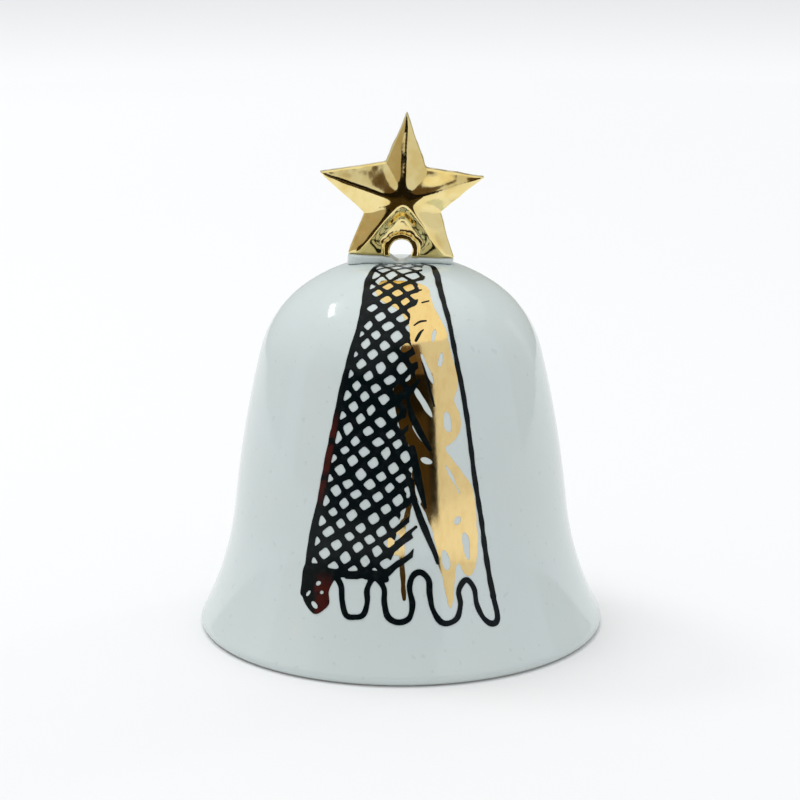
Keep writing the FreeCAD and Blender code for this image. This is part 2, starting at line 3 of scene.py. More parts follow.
import bpy
import numpy as np
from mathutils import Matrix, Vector


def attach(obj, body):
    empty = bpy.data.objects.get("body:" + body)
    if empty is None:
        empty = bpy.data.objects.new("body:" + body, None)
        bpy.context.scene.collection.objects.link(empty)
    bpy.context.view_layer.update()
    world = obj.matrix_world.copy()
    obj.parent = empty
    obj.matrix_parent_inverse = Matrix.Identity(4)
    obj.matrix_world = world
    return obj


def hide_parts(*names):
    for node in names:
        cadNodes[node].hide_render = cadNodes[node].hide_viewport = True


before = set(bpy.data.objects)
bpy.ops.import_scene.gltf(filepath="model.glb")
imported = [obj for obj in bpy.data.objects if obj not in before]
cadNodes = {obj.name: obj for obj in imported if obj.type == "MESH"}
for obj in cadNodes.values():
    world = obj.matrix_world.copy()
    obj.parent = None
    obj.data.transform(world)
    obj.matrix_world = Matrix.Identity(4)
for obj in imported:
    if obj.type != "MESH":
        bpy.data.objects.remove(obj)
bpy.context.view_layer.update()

mm = 0.001
print("frame loaded", sorted(cadNodes))


# ---- tools for shaping ----

def deselectAll():
    if bpy.context.object and bpy.context.object.mode != "OBJECT":
        bpy.ops.object.mode_set(mode="OBJECT")
    bpy.ops.object.select_all(action="DESELECT")


def pick(piece):
    deselectAll()
    piece.select_set(True)
    bpy.context.view_layer.objects.active = piece


def applyModifier(piece, kind, **settings):
    pick(piece)
    modifier = piece.modifiers.new(kind.title(), kind)
    for name, value in settings.items():
        setattr(modifier, name, value)
    bpy.ops.object.modifier_apply(modifier=modifier.name)


def cleanMesh(piece, gap=0.002 * mm, outward=False):
    pick(piece)
    bpy.ops.object.mode_set(mode="EDIT")
    bpy.ops.mesh.select_all(action="SELECT")
    bpy.ops.mesh.remove_doubles(threshold=gap)
    bpy.ops.mesh.delete_loose()
    if outward:
        bpy.ops.mesh.select_all(action="SELECT")
        bpy.ops.mesh.normals_make_consistent(inside=False)
    bpy.ops.object.mode_set(mode="OBJECT")


def readPlaces(piece):
    places = np.empty(len(piece.data.vertices) * 3)
    piece.data.vertices.foreach_get("co", places)
    return places.reshape(-1, 3)


def writePlaces(piece, places):
    piece.data.vertices.foreach_set("co", places.ravel())
    piece.data.update()


def weightGroup(piece, name, weights, least=0.0):
    group = piece.vertex_groups.new(name=name)
    for vertex in np.nonzero(weights > least)[0]:
        group.add([int(vertex)], float(weights[vertex]), "REPLACE")


def softShade(piece, degrees=180):
    pick(piece)
    if degrees >= 180:
        bpy.ops.object.shade_smooth()
    else:
        bpy.ops.object.shade_smooth_by_angle(angle=math.radians(degrees))


def hang(piece, name, body, finish, slot, *replaced):
    piece.name = name
    piece.data.name = name
    piece.data.materials.clear()
    piece.data.materials.append(finish.material)
    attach(piece, body)
    if replaced:
        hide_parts(*replaced)
    print("made", name, len(piece.data.polygons))


def outlineOf(steps):           # each step is a corner, or a corner reached along an arc of that radius
    points = [np.array(steps[0][:2], float)]
    for step in steps[1:]:
        end, begin = np.array(step[:2], float), points[-1]
        if len(step) == 2:
            points.append(end)
            continue
        radius, pieces = step[2:]                        # a positive radius turns left on the way
        half = (end - begin) / 2
        away = math.sqrt(max(radius ** 2 - half @ half, 0)) / math.hypot(*half)
        centre = begin + half + math.copysign(away, radius) * np.array([-half[1], half[0]])
        first = math.atan2(*(begin - centre)[::-1])
        sweep = math.remainder(math.atan2(*(end - centre)[::-1]) - first, math.tau)
        for k in range(1, pieces + 1):
            angle = first + sweep * k / pieces
            points.append(centre + abs(radius) * np.array([math.cos(angle), math.sin(angle)]))
    return np.array(points)


def turned(outline, segments=128):      # a closed outline of (radius, height) in mm, spun round the axis
    deselectAll()
    bpy.ops.mesh.primitive_circle_add(vertices=len(outline), radius=1)
    piece = bpy.context.object
    for vertex, (radius, height) in zip(piece.data.vertices, outline):
        vertex.co = (radius * mm, 0, height * mm)
    bpy.ops.object.mode_set(mode="EDIT")
    bpy.ops.mesh.select_all(action="SELECT")
    bpy.ops.mesh.spin(steps=segments, angle=math.tau, center=(0, 0, 0), axis=(0, 0, 1))
    bpy.ops.object.mode_set(mode="OBJECT")
    cleanMesh(piece, outward=True)
    return piece


def copyOf(node):
    piece = cadNodes[node].copy()
    piece.data = cadNodes[node].data.copy()
    piece.parent = None
    for key in list(piece.keys()):
        del piece[key]
    bpy.context.scene.collection.objects.link(piece)
    cleanMesh(piece)
    return piece


# ---- tools for materials ----

class Wire:                     # a socket that sums can be written with
    def __init__(self, finish, socket):
        self.finish = finish
        self.socket = socket

    def sum(self, operation, first, second=0.0):
        return self.finish.add("ShaderNodeMath", {"operation": operation}, {0: first, 1: second})

    def __add__(self, other):
        return self.sum("ADD", self, other)

    def __sub__(self, other):
        return self.sum("SUBTRACT", self, other)

    def __rsub__(self, other):
        return self.sum("SUBTRACT", other, self)

    def __mul__(self, other):
        return self.sum("MULTIPLY", self, other)

    __radd__ = __add__
    __rmul__ = __mul__

    def ramp(self, low, high):          # 0 below low, 1 above high, soft between
        return self.finish.add("ShaderNodeMapRange", {"interpolation_type": "SMOOTHSTEP"},
                               {"Value": self, "From Min": low, "From Max": high})


class Finish:
    def __init__(self, name, **constants):
        self.material = bpy.data.materials.new(name)
        self.material.use_nodes = True
        self.tree = self.material.node_tree
        self.shader = self.tree.nodes["Principled BSDF"]
        self.join(self.shader, {key.replace("_", " "): value for key, value in constants.items()})
        self.place = self.add("ShaderNodeTexCoord", output="Object")
        self.axes = {}

    def join(self, node, sockets):
        for key, value in sockets.items():
            if isinstance(value, Wire):
                self.tree.links.new(value.socket, node.inputs[key])
            else:
                isColour = node.inputs[key].type == "RGBA"
                node.inputs[key].default_value = (*value, 1) if isColour and len(value) == 3 else value

    def add(self, kind, settings=None, sockets=None, output=0):
        node = self.tree.nodes.new(kind)
        for key, value in (settings or {}).items():
            setattr(node, key, value)
        self.join(node, sockets or {})
        return Wire(self, node.outputs[output])

    def axis(self, name):
        if not self.axes:
            split = self.tree.nodes.new("ShaderNodeSeparateXYZ")
            self.tree.links.new(self.place.socket, split.inputs[0])
            self.axes = {key: Wire(self, split.outputs[key]) for key in "XYZ"}
        return self.axes[name]

    def noise(self, size, detail=2.0, stretch=(1, 1, 1)):       # size of a patch in mm
        vector = self.add("ShaderNodeVectorMath", {"operation": "MULTIPLY"}, {0: self.place, 1: stretch})
        return self.add("ShaderNodeTexNoise", {}, {"Vector": vector, "Scale": 1 / (size * mm),
                                                   "Detail": detail}, "Fac")

    def mix(self, amount, first, second):
        return self.add("ShaderNodeMix", {"data_type": "RGBA"}, {0: amount, 6: first, 7: second}, 2)

    def paint(self, **wires):
        self.join(self.shader, {key.replace("_", " "): value for key, value in wires.items()})

    def relief(self, height, depth):        # depth of the relief in mm
        self.paint(Normal=self.add("ShaderNodeBump", {}, {"Height": height, "Distance": depth * mm,
                                                          "Strength": 1.0}))


# ---- camera, floor and light ----

cameraSetup = {
    "place": (0, -0.43734, 0.15098),
    "tilt": 76.378,
    "lens": 109.76,
    "shift": (-0.00125, -0.018),
}
bpy.ops.object.camera_add(location=cameraSetup["place"],
                          rotation=(math.radians(cameraSetup["tilt"]), 0, 0))
camera = bpy.context.object
camera.data.lens = cameraSetup["lens"]
camera.data.sensor_width = 36
camera.data.shift_x, camera.data.shift_y = cameraSetup["shift"]
camera.data.clip_start = 0.01
bpy.context.scene.camera = camera
bpy.context.scene.view_settings.view_transform = "Standard"

# the floor is painted darker round the bell's foot, a painted shadow that fades out to the paper's even
# colour further away
floorSetup = {"size": 14, "roughness": 0.9,
              "shadowNear": (0.83, 0.83, 0.83), "far": (0.96, 0.96, 0.96), "reach": (0.1, 1.0)}    # metres out
deselectAll()
bpy.ops.mesh.primitive_plane_add(size=floorSetup["size"])
floor = bpy.context.object
floor.name = "studioFloor"
paper = Finish("floorPaperWithPaintedShadow", Roughness=floorSetup["roughness"])
# painted shadow: the floor's colour darkens towards the bell
outward = paper.axis("X") * paper.axis("X") + paper.axis("Y") * paper.axis("Y")
shadowFrom, shadowTo = floorSetup["reach"]
paper.paint(Base_Color=paper.mix(outward.ramp(shadowFrom ** 2, shadowTo ** 2), floorSetup["shadowNear"],
                                 floorSetup["far"]))
floor.data.materials.append(paper.material)

studio = {
    "sky": (0.97, 0.98, 1.0), "skyStrength": 0.74,
    # name: place, size, power, colour
    "lamps": {
        "ceilingPanel": ((-0.2, 0.1, 1.5), (1.0, 1.0), 9.7, (1.0, 1.0, 1.0)),
        "leftWindow": ((-0.69, 0.38, 1.08), (0.34, 0.20), 1.6, (0.92, 0.98, 1.0)),
        "rightStrip": ((0.95, 0.74, 0.30), (0.16, 0.60), 1.2, (1.0, 0.98, 0.94)),
    },
}
world = bpy.data.worlds.new("studioSky")
world.use_nodes = True
world.node_tree.nodes["Background"].inputs["Color"].default_value = (*studio["sky"], 1)
world.node_tree.nodes["Background"].inputs["Strength"].default_value = studio["skyStrength"]
bpy.context.scene.world = world
for lampName, (place, (wide, high), power, colour) in studio["lamps"].items():
    bpy.ops.object.light_add(type="AREA", location=place)
    lamp = bpy.context.object
    lamp.name = lampName
    lamp.data.shape = "RECTANGLE"
    lamp.data.size, lamp.data.size_y = wide, high
    lamp.data.energy = power
    lamp.data.color = colour
    lamp.visible_glossy = lampName != "ceilingPanel"     # the overhead card stands for it in reflections
    lamp.rotation_euler = (Vector((0, 0, 0.04)) - Vector(place)).to_track_quat("-Z", "Y").to_euler()

# cards that only polished surfaces see: distance, azimuth and height angles from the object, brightness
cards = {
    "cameraSide": (0.60, (-46, 25), (-16, 20), (0.010, 0.007, 0.004)),
    "cameraSideTop": (0.62, (-12, 20), (20, 50), (0.10, 0.06, 0.025)),
    "nearFront": (0.13, (-46, 18), (-13, 6.5), (0.045, 0.028, 0.009)),
    "overhead": (1.00, (-180, 180), (50, 89), (0.98, 0.95, 0.84)),
    "leftWall": (0.75, (-80, -46), (-16, 34), (0.46, 0.40, 0.30)),
    "warmLamp": (0.50, (-66, -64), (10, 12), (2.4, 0.75, 0.14)),
    "behindRight": (0.90, (95, 175), (-10, 40), (0.36, 0.36, 0.32)),
    "behindLeft": (0.90, (-175, -95), (-10, 40), (0.52, 0.54, 0.54)),
}
for cardName, (distance, turns, heights, colour) in cards.items():
    deselectAll()
    bpy.ops.mesh.primitive_grid_add(x_subdivisions=8, y_subdivisions=8, size=1)
    card = bpy.context.object
    card.name = cardName
    for vertex in card.data.vertices:
        turn = math.radians(turns[0] + (vertex.co.x + 0.5) * (turns[1] - turns[0]))
        height = math.radians(heights[0] + (vertex.co.y + 0.5) * (heights[1] - heights[0]))
        vertex.co = (distance * math.sin(turn) * math.cos(height),
                     -distance * math.cos(turn) * math.cos(height),
                     0.05 + distance * math.sin(height))
    glow = Finish(cardName + "Card", Base_Color=(0, 0, 0), Specular_IOR_Level=0.0,
                  Emission_Color=colour, Emission_Strength=1.0)
    card.data.materials.append(glow.material)
    for ray in ("camera", "diffuse", "transmission", "volume_scatter", "shadow"):
        setattr(card, "visible_" + ray, False)
print("studio set")


# ---- finishes ----

porcelainLook = {
    "body": (0.592, 0.656, 0.636), "pale": (0.616, 0.684, 0.676),
    "bare": (0.60, 0.57, 0.52), "bareHeight": 0.22,
    "roughness": 0.07, "bareRoughness": 0.7,
    "waveSize": 14, "waveDepth": 0.035, "peelSize": 1.6, "peelDepth": 0.0015,
}


def glazed(name, look):
    finish = Finish(name, IOR=1.5)
    bare = 1 - finish.axis("Z").ramp(look["bareHeight"] * 0.6 * mm, look["bareHeight"] * mm)
    tone = finish.mix(finish.noise(22, 1), look["body"], look["pale"])
    grit = finish.noise(0.25, 3)
    speck = finish.noise(1.1, 0).ramp(0.77, 0.80) * 0.25
    tone = finish.mix(speck, tone, [c * 0.75 for c in look["body"]])
    finish.paint(
        Base_Color=finish.mix(bare, tone, look["bare"]),
        Roughness=bare * (look["bareRoughness"] - look["roughness"]) + look["roughness"]
        + finish.noise(9, 2) * 0.03)
    wave = finish.noise(look["waveSize"], 0) * look["waveDepth"]
    peel = finish.noise(look["peelSize"], 1) * look["peelDepth"]
    finish.relief(wave + peel + bare * grit * 0.03, 1)
    return finish


porcelain = glazed("glazedPorcelain", porcelainLook)
ballGlaze = glazed("ballGlaze", {**porcelainLook, "bareHeight": -1, "body": (0.66, 0.69, 0.67),
                                 "waveSize": 5, "waveDepth": 0.02})

starLook = {"deep": (0.83, 0.64, 0.25), "bright": (0.91, 0.76, 0.36), "roughness": 0.07,
            "patch": 3.2, "dents": 1.6, "dentDepth": 0.016, "grain": 0.35, "grainDepth": 0.002}
starGold = Finish("starGold", Metallic=1.0)
burnish = starGold.noise(starLook["patch"], 2)
starGold.paint(Base_Color=starGold.mix(burnish.ramp(0.30, 0.62), starLook["deep"], starLook["bright"]),
               Roughness=starLook["roughness"] + starGold.noise(1.4, 3) * 0.06)
starGold.relief(starGold.noise(starLook["dents"], 1) * starLook["dentDepth"]
                + starGold.noise(starLook["grain"], 2) * starLook["grainDepth"], 1)

lustreLook = {"thin": (0.87, 0.64, 0.28), "full": (0.92, 0.70, 0.32), "roughness": 0.05}
goldLustre = Finish("goldLustre", Metallic=1.0)
strokes = goldLustre.noise(1.8, 3, (1.6, 1, 0.7))
goldLustre.paint(Base_Color=goldLustre.mix(strokes.ramp(0.28, 0.60), lustreLook["thin"], lustreLook["full"]),
                 Roughness=lustreLook["roughness"] + goldLustre.noise(0.8, 3) * 0.08)
goldLustre.relief(goldLustre.noise(1.2, 3) * 0.004 + strokes * 0.004, 1)

inkLook = {"black": (0.002, 0.005, 0.006), "worn": (0.010, 0.014, 0.015), "darkRed": (0.050, 0.008, 0.006),
           "roughness": 0.12,
           # mm: how the left edge leans, where the painted dark red reflection along the left edge comes in
           # and fades out, and where the dark red tint at the blob's right side does
           "edgeLean": 0.196, "edgeAcross": (-19.9, -19.5), "edgeLow": (29, 33), "edgeHigh": (43, 47),
           "footTop": (15, 19), "footLeft": (-15.6, -14.8), "footRight": (-12.4, -11.8)}
lineInk = Finish("firedInk", IOR=1.24, Roughness=inkLook["roughness"])


def rises(wire, span):
    return wire.ramp(span[0] * mm, span[1] * mm)


inkAcross, inkUp = lineInk.axis("X"), lineInk.axis("Z")
fromEdge = inkAcross - inkUp * inkLook["edgeLean"]      # level all the way along the left edge
# painted reflection: along the left edge the ink is painted dark red, standing for a dark red reflection
paintedRedReflection = (1 - rises(fromEdge, inkLook["edgeAcross"])) * (
    rises(inkUp, inkLook["edgeLow"]) - rises(inkUp, inkLook["edgeHigh"]))
# the ink is also painted dark red at the blob's right side, low on the front
footRedTint = (1 - rises(inkUp, inkLook["footTop"])) * (
    rises(inkAcross, inkLook["footLeft"]) - rises(inkAcross, inkLook["footRight"]))
redReflectionAndTint = (paintedRedReflection + footRedTint) * lineInk.noise(2, 2).ramp(0.30, 0.52)
soot = lineInk.mix(lineInk.noise(1.3, 4).ramp(0.45, 0.85), inkLook["black"], inkLook["worn"])
lineInk.paint(Base_Color=lineInk.mix(redReflectionAndTint, soot, inkLook["darkRed"]),
              Roughness=inkLook["roughness"] + lineInk.noise(0.6, 3) * 0.08)
lineInk.relief(lineInk.noise(0.9, 2) * 0.002, 1)

metalLooks = {
    "turnedBrass": {"deep": (0.50, 0.33, 0.10), "bright": (0.80, 0.60, 0.28), "roughness": 0.20,
                    "stretch": (1, 1, 9)},
    "drawnBrass": {"deep": (0.46, 0.30, 0.10), "bright": (0.74, 0.55, 0.25), "roughness": 0.28,
                   "stretch": (5, 5, 0.4)},
}
metals = {}
for metalName, look in metalLooks.items():
    metal = Finish(metalName, Metallic=1.0)
    tarnish = metal.noise(2.4, 3)
    lines = metal.noise(0.5, 2, look["stretch"])
    metal.paint(Base_Color=metal.mix(tarnish.ramp(0.35, 0.65), look["deep"], look["bright"]),
                Roughness=look["roughness"] + tarnish * 0.12 + lines * 0.06)
    metal.relief(lines * 0.004 + tarnish * 0.004, 1)
    metals[metalName] = metal

cementLook = {"pale": (0.58, 0.56, 0.52), "dark": (0.42, 0.40, 0.37)}
cement = Finish("settingCement", Roughness=0.85)
cement.paint(Base_Color=cement.mix(cement.noise(0.5, 4), cementLook["dark"], cementLook["pale"]))
cement.relief(cement.noise(0.3, 4) * 0.05, 1)
print("finishes mixed")


# ---- the bell ----

# radius and height in mm, then the arc's radius and its number of pieces; from the foot ring up
# the outside, over the crown, and down the inside
bellSetup = {
    "outside": [(36.2, 0), (37.35, 1.9, 1.3, 9), (30.75, 23.8, -60.3, 26), (25.79, 52.1, 201.8, 26),
                (17.77, 63.72, 20.1, 18), (9.93, 67.67, 31.1, 9), (6.1, 68.3, 12.0, 5), (3, 68.3), (0, 68.3)],
    "socket": [(0, 66.1), (3.6, 66.1), (3.6, 61.9), (3.8, 61.7, 0.2, 3), (5.3, 61.7), (5.6, 62.0, 0.3, 4),
               (5.6, 64.23), (7.1, 65.39, -1.2, 5)],
    "inside": [(16.06, 61.26, -28.1, 9), (22.88, 51.37, -17.1, 14), (27.77, 23.49, -198.8, 20),
               (34.85, 0.21, 63.3, 22), (35.2, 0, 0.4, 4)],
    "segments": 224,
}
wholeOutline = outlineOf(bellSetup["outside"] + bellSetup["socket"] + bellSetup["inside"])
bell = turned(wholeOutline, bellSetup["segments"])
softShade(bell, 50)
hang(bell, "porcelainBell", "bell", porcelain, "porcelain", "bell_shell")

# the outside again, finely divided: how far up it each point is, and which way it faces
fine = outlineOf([step if len(step) == 2 else (*step[:3], step[3] * 8) for step in bellSetup["outside"]])
alongBell = np.r_[0, np.cumsum(np.hypot(*np.diff(fine, axis=0).T))]
heading = np.gradient(fine, alongBell, axis=0)
facing = np.stack([heading[:, 1], -heading[:, 0]], axis=1)


def wrapOnBell(across, along, lift):    # flat drawing in mm (across, up the front) to places on the bell
    radius, height = (np.interp(along, alongBell, fine[:, k]) for k in (0, 1))
    outward, upward = (np.interp(along, alongBell, facing[:, k]) for k in (0, 1))
    low, high = np.zeros_like(across), np.full_like(across, 12.0)
    for _ in range(40):                 # slide in from the front until the bell is met
        middle = (low + high) / 2
        away = np.hypot(across, radius - middle * outward)
        above = (height - middle * upward) > np.interp(away, fine[::-1, 0], fine[::-1, 1])
        low, high = np.where(above, middle, low), np.where(above, high, middle)
    depth = radius - low * outward
    away = np.hypot(across, depth)
    outward, upward = (np.interp(away, fine[::-1, 0], facing[::-1, k]) for k in (0, 1))
    return np.stack([across * (1 + lift * outward / away), -depth * (1 + lift * outward / away),
                     height - low * upward + lift * upward], axis=1) * mm


# ---- drawing the print ----

def smooth(points, pieces=6):           # a flowing line through a few points
    points = np.array(points, float)
    padded = np.vstack([2 * points[0] - points[1], points, 2 * points[-1] - points[-2]])
    flowing = []
    for a, b, c, d in zip(padded, padded[1:], padded[2:], padded[3:]):
        for t in np.arange(pieces) / pieces:
            flowing.append(0.5 * (2 * b + (c - a) * t + (2 * a - 5 * b + 4 * c - d) * t ** 2
                                  + (3 * b - a - 3 * c + d) * t ** 3))
    return np.array(flowing + [points[-1]])


def lineField(x, y, points):            # distance to a line, and the half width there if points carry one
    best, width = np.full(x.shape, 99.0), np.zeros(x.shape)
    for begin, end in zip(points, points[1:]):
        run = (end - begin)[:2]
        t = np.clip(((x - begin[0]) * run[0] + (y - begin[1]) * run[1]) / max(run @ run, 1e-9), 0, 1)
        away = np.hypot(x - begin[0] - t * run[0], y - begin[1] - t * run[1])
        nearer = away < best
        best = np.where(nearer, away, best)
        if len(begin) > 2:
            width = np.where(nearer, begin[2] + t * (end[2] - begin[2]), width)
    return best - width


def areaField(x, y, points):            # distance to a closed outline, negative inside
    loop = np.vstack([points, points[:1]])
    inside = np.zeros(x.shape, bool)
    for (x0, y0), (x1, y1) in zip(loop, loop[1:]):
        crosses = (y0 > y) != (y1 > y)
        inside ^= crosses & (x < x0 + (y - y0) * (x1 - x0) / (y1 - y0 if y1 != y0 else 1e-9))
    return lineField(x, y, loop) * np.where(inside, -1, 1)


def merge(a, b, blend):                 # both together, with the join rounded
    h = np.clip(0.5 + 0.5 * (b - a) / blend, 0, 1)
    return b + (a - b) * h - blend * h * (1 - h)


def wander(x, y, size, seed):           # a gentle unevenness between -1 and 1
    chance = np.random.default_rng(seed)
    total = np.zeros(x.shape)
    for _ in range(9):
        turn, phase, wave = chance.uniform(0, math.tau), chance.uniform(0, math.tau), chance.uniform(0.7, 1.6)
        total += np.sin((x * math.cos(turn) + y * math.sin(turn)) * math.tau / (size * wave) + phase)
    return total / 4.5


inkEdge = {"softness": 1.6, "joinUnder": 0.12, "shade": 60}     # mm, a share of a cell, degrees


def inkFilm(name, sheet, draw, finish, slot, *replaced):
    wide, tall = sheet["right"] - sheet["left"], sheet["high"] - sheet["low"]
    deselectAll()
    bpy.ops.mesh.primitive_grid_add(x_subdivisions=round(wide / sheet["step"]),
                                    y_subdivisions=round(tall / sheet["step"]), size=1)
    film = bpy.context.object
    flat = readPlaces(film)
    x = sheet["left"] + (flat[:, 0] + 0.5) * wide
    y = sheet["low"] + (flat[:, 1] + 0.5) * tall
    weightGroup(film, "ink", np.clip(0.5 - draw(x, y) / inkEdge["softness"], 0, 1))
    writePlaces(film, np.stack([x, y, 0 * x], axis=1))
    applyModifier(film, "MASK", vertex_group="ink", threshold=0.5, use_smooth=True)
    cleanMesh(film, sheet["step"] * inkEdge["joinUnder"])
    flat = readPlaces(film)
    writePlaces(film, wrapOnBell(flat[:, 0], flat[:, 1], sheet["lift"]))
    applyModifier(film, "SOLIDIFY", thickness=sheet["thickness"] * mm, offset=-1, use_even_offset=False)
    film.vertex_groups.clear()
    softShade(film, inkEdge["shade"])
    hang(film, name, "bell", finish, slot, *replaced)


# all in mm: across from the middle, then how far up the front from the rim
panel = {
    "sheet": {"step": 0.16, "left": -19, "right": 18.5, "low": 10.5, "high": 86, "lift": 0.10,
              "thickness": 0.09},
    "leftEdge": [(-3.6, 85.0, 0.25), (-5.0, 80.5, 0.45), (-5.9, 76, 0.6), (-6.4, 70.5, 0.55),
                 (-7.2, 65.0, 0.5), (-8.4, 60.5, 0.5),
                 (-9.8, 54.6, 0.55), (-11.3, 47.6, 0.55), (-12.7, 40.6, 0.6), (-14.0, 33.7, 0.55),
                 (-15.5, 26.7, 0.6), (-16.7, 19.6, 0.5), (-17.3, 17.0, 0.45)],
    "rightEdge": [(3.8, 85.0, 0.25), (5.6, 83.0, 0.4), (6.3, 79.4, 0.62), (7.1, 73.0, 0.5), (8.4, 66.0, 0.42),
                  (9.7, 58.1, 0.42), (11.0, 51.1, 0.42), (12.0, 44.1, 0.42), (12.9, 37.0, 0.42),
                  (14.0, 30.0, 0.42), (15.0, 22.9, 0.45), (16.2, 16.6, 0.45)],
    "drips": [(-13.1, 15.6, 0.4), (-12.9, 18.0, 0.45), (-11.7, 19.9, 0.5), (-10.5, 18.4, 0.5),
              (-10.3, 15.8, 0.45), (-9.6, 13.4, 0.5), (-8.0, 13.1, 0.45), (-6.6, 13.5, 0.5),
              (-5.9, 15.6, 0.5), (-5.9, 18.0, 0.45), (-4.6, 19.9, 0.5), (-3.0, 18.2, 0.5), (-2.9, 15.6, 0.5),
              (-2.3, 13.2, 0.55), (-0.6, 12.2, 0.55), (1.4, 12.9, 0.5), (2.0, 15.4, 0.5), (1.5, 18.0, 0.5),
              (2.0, 20.2, 0.55), (3.4, 20.9, 0.5), (4.8, 19.6, 0.5), (5.0, 17.0, 0.5), (5.5, 14.6, 0.45),
              (6.8, 12.4, 0.5), (8.2, 12.0, 0.5), (9.8, 12.9, 0.45), (10.4, 15.2, 0.45), (10.1, 17.6, 0.45),
              (11.4, 19.4, 0.5), (12.8, 17.9, 0.45), (13.3, 15.2, 0.4), (14.4, 13.0, 0.42),
              (16.0, 12.0, 0.5), (17.0, 13.0, 0.5), (16.2, 16.6, 0.42)],
    "blob": [(-17.6, 17.4), (-16.9, 15.4), (-15.2, 13.6), (-13.4, 14.4), (-12.6, 15.6), (-13.0, 18.0),
             (-13.4, 21.5), (-16.9, 21.5)],
    "blobHoles": [(-15.2, 15.1, 0.75, 0.42, -50), (-16.3, 17.0, 0.6, 0.28, 50), (-13.9, 17.2, 0.35, 0.3, 20),
                  (-14.5, 18.7, 0.5, 0.35, 30)],
    # where the crossed lines stop on the right: up the front, and across for each way of slanting
    "latticeEnd": [(12, -3.0, -3.0), (20.2, -1.6, -3.4), (22.5, 2.0, -2.2), (27.0, 2.6, -0.6),
                   (29.0, 1.6, -0.2), (34.0, 1.3, 1.2), (41.0, 2.0, 1.9), (43.5, 1.0, 0.8), (47.0, 1.3, 0.9),
                   (51.0, 1.3, 1.1), (54.5, 3.2, 2.8), (58.5, 2.8, 2.2), (62.0, 1.6, 1.2), (66.0, 1.6, 1.6),
                   (70.0, 2.9, 2.2), (75.0, 3.2, 2.8), (77.0, 4.0, 3.6), (85.0, 4.3, 4.3)],
    "latticeFoot": 19.6,
    "latticeStart": (-4.15, 43.65),     # the middle of one window
    "risingStep": (2.15, 1.66), "fallingStep": (1.45, -2.08),
    "risingWidth": 0.53, "fallingWidth": 0.50, "lineWander": 0.26, "widthWander": 0.12, "corner": 0.50,
    "crownThinning": 0.24,
    # loose pen strokes to the right of the lattice
    "strokes": [
        [(1.6, 37.0, 0.45), (2.3, 33.6, 0.5), (4.0, 28.8, 0.6), (5.9, 24.2, 0.45), (6.4, 22.4, 0.25)],
        [(2.0, 42.8, 0.5), (2.6, 39.4, 0.7), (3.3, 36.0, 0.6), (4.2, 32.4, 0.3)],
        [(1.0, 51.8, 0.3), (1.9, 48.4, 0.5), (2.7, 46.6, 0.6), (3.8, 44.6, 0.5), (5.0, 42.4, 0.3)],
        [(-13.2, 20.8, 0.6), (-9.0, 20.4, 0.6), (-4.6, 20.5, 0.7), (-2.6, 19.6, 0.5)],
        [(3.6, 57.8, 0.12), (4.6, 54.6, 0.18), (5.2, 52.2, 0.2), (5.8, 50.0, 0.12)],
        [(-0.6, 26.2, 0.35), (1.0, 27.6, 0.35), (2.6, 28.9, 0.3)],
        [(2.3, 64.6, 0.2), (3.3, 65.4, 0.22), (4.4, 65.7, 0.12)],
        [(2.6, 61.6, 0.3), (3.4, 63.2, 0.25), (3.9, 63.8, 0.15)],
        [(2.4, 72.6, 0.2), (3.6, 73.2, 0.16)],
        [(3.7, 69.8, 0.18), (4.9, 70.4, 0.12)],
    ],
}


def drawInk(x, y):
    bent = panel["lineWander"] * wander(x, y, 7, 3), panel["lineWander"] * wander(x, y, 7, 5)
    u, v = x + bent[0] - panel["latticeStart"][0], y + bent[1] - panel["latticeStart"][1]
    (ax, ay), (bx, by) = panel["risingStep"], panel["fallingStep"]
    cross = ax * by - ay * bx
    acrossRising = (ax * v - ay * u) / cross        # counts the rising lines
    acrossFalling = (u * by - v * bx) / cross       # counts the falling ones
    even = wander(x, y, 3.1, 11) * panel["widthWander"]
    thinning = panel["crownThinning"] * np.clip((y - 72) / 6, 0, 1)
    ends = np.array(panel["latticeEnd"])
    fields = []
    for count, pitch, width, column, seed in (
            (acrossRising, abs(cross) / math.hypot(ax, ay), panel["risingWidth"], 1, 21),
            (acrossFalling, abs(cross) / math.hypot(bx, by), panel["fallingWidth"], 2, 22)):
        number = np.round(count - 0.5)
        chance = np.random.default_rng(seed).uniform(-1, 1, (2, 400))[:, number.astype(int) % 400]
        line = np.abs(count - number - 0.5) * pitch + chance[0] * 0.06 - width + even + thinning
        limit = np.interp(y, ends[:, 0], ends[:, column]) + 0.45 * chance[1]
        fields.append(np.maximum(line, x - limit))
    lattice = merge(fields[0], fields[1], panel["corner"])
    leftEdge = smooth(panel["leftEdge"])
    order = np.argsort(leftEdge[:, 1])
    leftLimit = np.interp(y, leftEdge[order, 1], leftEdge[order, 0])
    lattice = np.maximum(lattice, np.maximum(leftLimit - x, np.maximum(panel["latticeFoot"] - y, y - 84.3)))
    ink = lattice
    for stroke in [panel["leftEdge"], panel["rightEdge"], panel["drips"]] + panel["strokes"]:
        ink = merge(ink, lineField(x, y, smooth(stroke)) + even * 0.5, 0.35)
    ink = merge(ink, areaField(x, y, smooth(panel["blob"] + panel["blob"][:1])[:-1]), 0.3)
    for middleX, middleY, long, wide, turn in panel["blobHoles"]:
        ink = np.maximum(ink, -oval(x, y, middleX, middleY, long, wide, turn))
    return ink


def oval(x, y, middleX, middleY, long, wide, turn):
    c, s = math.cos(math.radians(turn)), math.sin(math.radians(turn))
    along, across = (x - middleX) * c + (y - middleY) * s, (y - middleY) * c - (x - middleX) * s
    return (np.hypot(along / long, across / wide) - 1) * min(long, wide)


